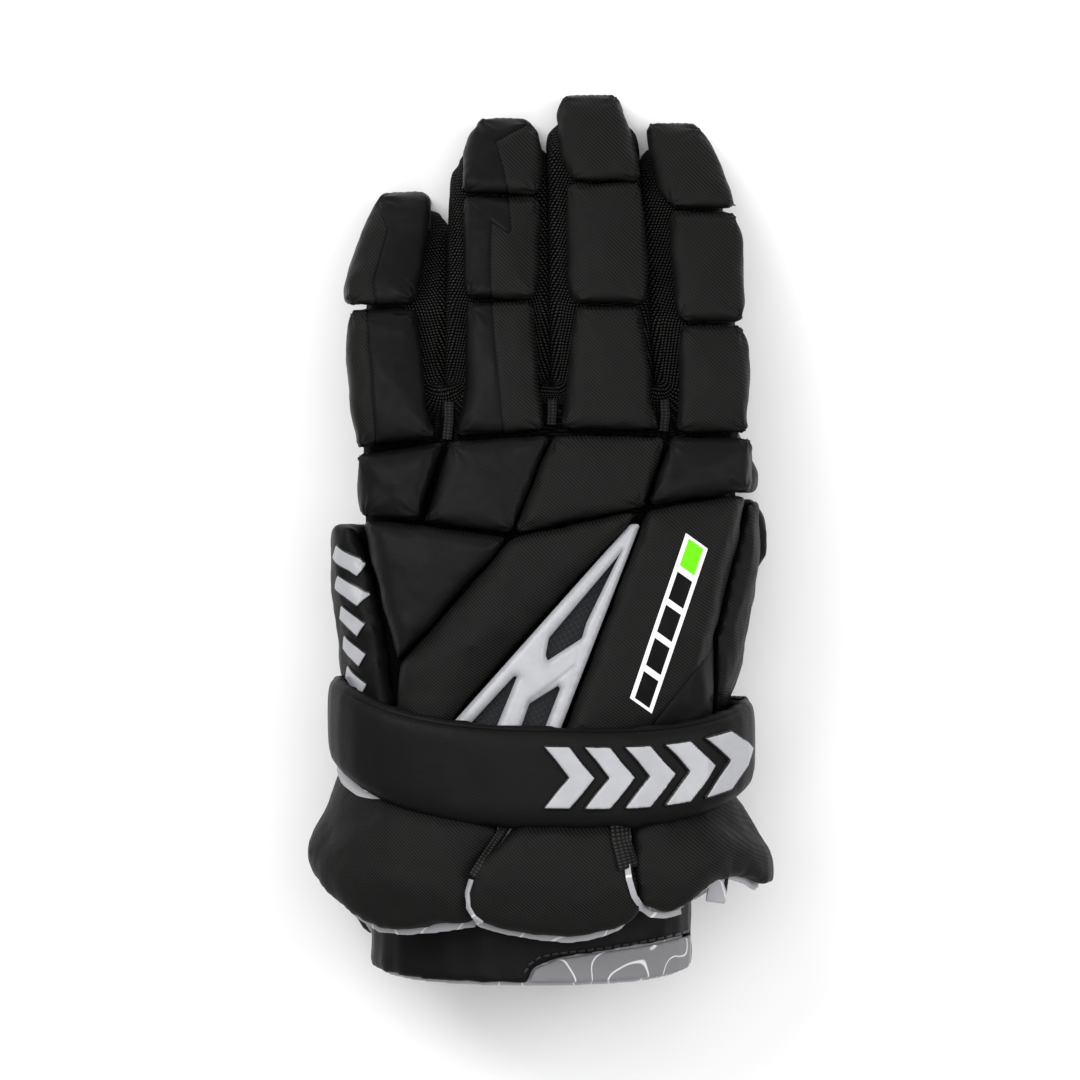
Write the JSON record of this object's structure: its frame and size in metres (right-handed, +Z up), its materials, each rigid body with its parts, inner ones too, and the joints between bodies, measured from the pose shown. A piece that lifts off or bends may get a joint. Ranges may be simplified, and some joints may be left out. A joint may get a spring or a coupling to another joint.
{
  "type": "lacrosse glove",
  "caption": "Padded lacrosse glove for a left hand, lying palm down, with segmented finger and back pads, a wrist strap and a flared cuff.",
  "frame": {"origin": "middle of the glove's length and width, on the floor that it lies on", "axes": "+X across the hand towards the thumb side, +Y towards the finger tips, +Z up out of the back of the hand"},
  "size_m": [0.1738, 0.3307, 0.1126],
  "materials": {
    "leather": "matte black synthetic leather",
    "knit_mesh": "black ribbed knit mesh",
    "smooth_cloth": "smooth black coated cloth, satin",
    "twill": "black cloth with a fine diagonal rib",
    "silver_moulding": "silver-grey moulding, satin",
    "grey_lining": "grey printed lining cloth"
  },
  "bodies": {
    "root": {"palm_leather": "leather", "thumb_leather": "leather", "back_liner": "knit_mesh", "outer_side_wall": "knit_mesh", "little_ring_gusset": "knit_mesh", "ring_middle_gusset": "knit_mesh", "middle_index_gusset": "knit_mesh", "inner_side_wall": "knit_mesh", "thumb_back": "knit_mesh", "vent_bed": "knit_mesh", "thumb_base_pad": "smooth_cloth", "thumb_tip_pad": "smooth_cloth", "little_base_pad": "smooth_cloth", "little_tip_pad": "smooth_cloth", "ring_base_pad": "smooth_cloth", "ring_middle_pad": "smooth_cloth", "ring_tip_pad": "smooth_cloth", "index_back_pad": "smooth_cloth", "outer_side_pad": "smooth_cloth", "triangle_back_pad": "smooth_cloth", "little_knuckle_pad": "smooth_cloth", "ring_knuckle_pad": "smooth_cloth", "wrist_strap": "smooth_cloth", "wrist_sleeve": "smooth_cloth", "middle_base_pad": "twill", "middle_middle_pad": "twill", "middle_tip_pad": "twill", "index_base_pad": "twill", "index_middle_pad": "twill", "index_tip_pad": "twill", "middle_knuckle_pad": "twill", "index_knuckle_pad": "twill", "diagonal_back_pad": "twill", "inner_side_pad": "twill", "little_side_lobe": "twill", "back_lobe": "twill", "thumb_side_lobe": "twill", "palm_thumb_lobe": "twill", "palm_little_lobe": "twill", "vent_frame": "silver_moulding", "strap_chevron_1": "silver_moulding", "strap_chevron_2": "silver_moulding", "strap_chevron_3": "silver_moulding", "strap_chevron_4": "silver_moulding", "strap_chevron_5": "silver_moulding", "little_side_lobe_lining": "grey_lining", "back_lobe_lining": "grey_lining", "thumb_side_lobe_lining": "grey_lining", "palm_thumb_lobe_lining": "grey_lining", "palm_little_lobe_lining": "grey_lining", "sleeve_patch": "grey_lining", "sleeve_lining": "grey_lining"}
  },
  "joints": []
}
